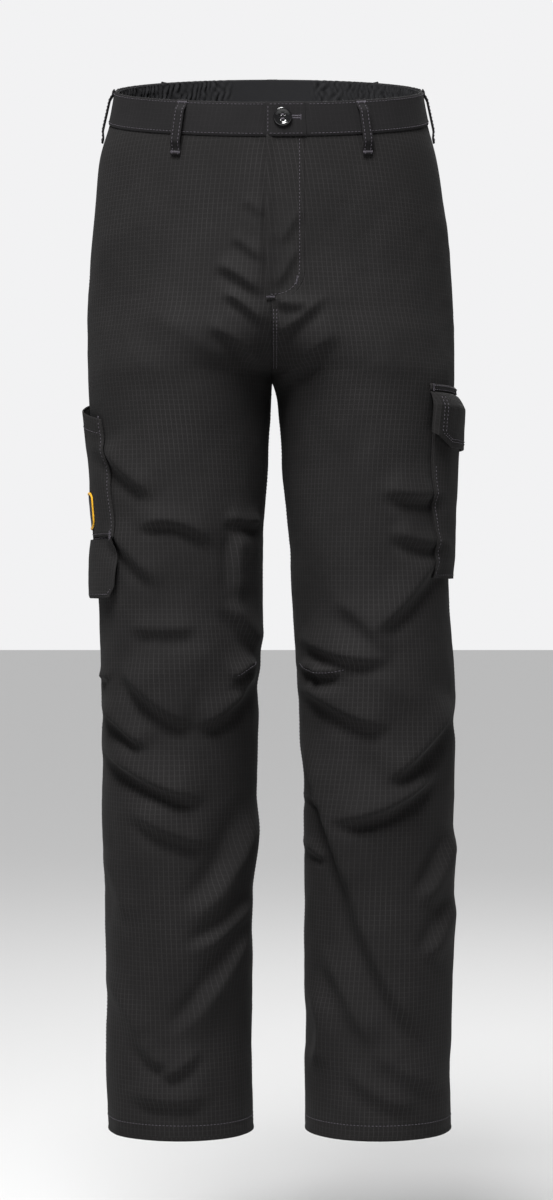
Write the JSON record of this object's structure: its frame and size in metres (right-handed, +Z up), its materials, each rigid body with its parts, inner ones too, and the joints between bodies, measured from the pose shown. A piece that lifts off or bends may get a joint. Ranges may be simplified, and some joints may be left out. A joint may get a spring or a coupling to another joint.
{
  "type": "cargo work trousers",
  "caption": "Straight-leg ripstop work trousers with a gathered back waist, belt loops, a zip fly, a rule pocket and a flapped bellows cargo pocket.",
  "frame": {"origin": "middle of the waist opening, level with its two sides", "axes": "+Z up along the body, the front faces -Y, the wearer's right leg is towards -X"},
  "size_m": [0.4084, 0.2624, 1.1322],
  "materials": {
    "ripstop": "black-grey ripstop twill with a 5 mm grid",
    "lining": "plain woven pocketing",
    "elastic": "woven elastic",
    "zip_tape": "woven polyester tape",
    "touch_tape": "hook and loop tape",
    "thread": "polyester sewing thread",
    "badge": "embroidered twill with an amber edge",
    "button": "glossy moulded polyester",
    "zip_metal": "antiqued brass"
  },
  "bodies": {
    "trousers": {"back_panel_left": "ripstop", "back_panel_right": "ripstop", "badge_patch": "badge", "belt_loop_back_centre": "ripstop", "belt_loop_back_left": "ripstop", "belt_loop_back_right": "ripstop", "belt_loop_front_left": "ripstop", "belt_loop_front_right": "ripstop", "belt_loop_side_left": "ripstop", "belt_loop_side_right": "ripstop", "cargo_flap_band": "ripstop", "cargo_pocket_bellows": "ripstop", "cargo_pocket_face": "ripstop", "flap_loop_strip": "touch_tape", "fly_shield": "lining", "front_panel_left": "ripstop", "front_panel_right": "ripstop", "hip_pocket_bag_left": "lining", "hip_pocket_bag_right": "lining", "knee_fold_left": "ripstop", "knee_fold_right": "ripstop", "rule_pocket_upper": "ripstop", "waist_elastic_left": "elastic", "waist_elastic_right": "elastic", "waistband_back": "ripstop", "waistband_facing": "lining", "waistband_front_left": "ripstop", "waistband_front_right": "ripstop", "waistband_underlap": "ripstop", "zip_bottom_stop": "zip_metal", "zip_tape_left": "zip_tape", "zip_tape_right": "zip_tape", "zip_teeth_left": "zip_metal", "zip_teeth_right": "zip_metal"},
    "fly_flap": {"waistband_overlap": "ripstop", "fly_placket": "ripstop"},
    "zip_runner": {"zip_slider": "zip_metal", "zip_pull": "zip_metal"},
    "button": {"waist_button": "button", "button_thread": "thread"},
    "pocket_flap": {"cargo_flap": "ripstop", "flap_hook_strip": "touch_tape"},
    "pocket_end": {"rule_pocket_end": "ripstop"},
    "shin_right": {"shin_front_right": "ripstop", "shin_back_right": "ripstop", "hem_right": "ripstop"},
    "shin_left": {"shin_front_left": "ripstop", "shin_back_left": "ripstop", "hem_left": "ripstop"}
  },
  "joints": [
    {"name": "fly_open", "type": "hinge", "parent": "trousers", "child": "fly_flap", "pos_m": [0.0342, -0.1164, -0.06675], "axis": [0, 0.0046, 1], "range_deg": [0, 100], "deforming": ["waistband_overlap"]},
    {"name": "zip_slide", "type": "slide", "parent": "trousers", "child": "zip_runner", "axis": [0, -0.0046, -1], "range_m": [0, 0.134], "deforming": ["zip_teeth_right", "zip_teeth_left"]},
    {"name": "button_tilt", "type": "hinge", "parent": "trousers", "child": "button", "pos_m": [0.0112, -0.10871, -0.04778], "axis": [1, 0, 0], "range_deg": [-8, 8], "stiffness_Nm_per_rad": 0.001},
    {"name": "cargo_flap_lift", "type": "hinge", "parent": "trousers", "child": "pocket_flap", "pos_m": [0.1945, 0, -0.324], "axis": [0.13, -0.9915, 0], "range_deg": [0, 150], "deforming": ["cargo_flap", "flap_hook_strip"]},
    {"name": "rule_end_swing", "type": "hinge", "parent": "trousers", "child": "pocket_end", "pos_m": [-0.191, 0, -0.4762], "axis": [0, 1, 0], "range_deg": [0, 60]},
    {"name": "knee_right", "type": "hinge", "parent": "trousers", "child": "shin_right", "pos_m": [-0.0967, -0.035, -0.62], "axis": [1, 0, 0], "range_deg": [0, 60], "deforming": ["knee_fold_right"]},
    {"name": "knee_left", "type": "hinge", "parent": "trousers", "child": "shin_left", "pos_m": [0.1092, -0.035, -0.62], "axis": [1, 0, 0], "range_deg": [0, 60], "deforming": ["knee_fold_left"]}
  ]
}
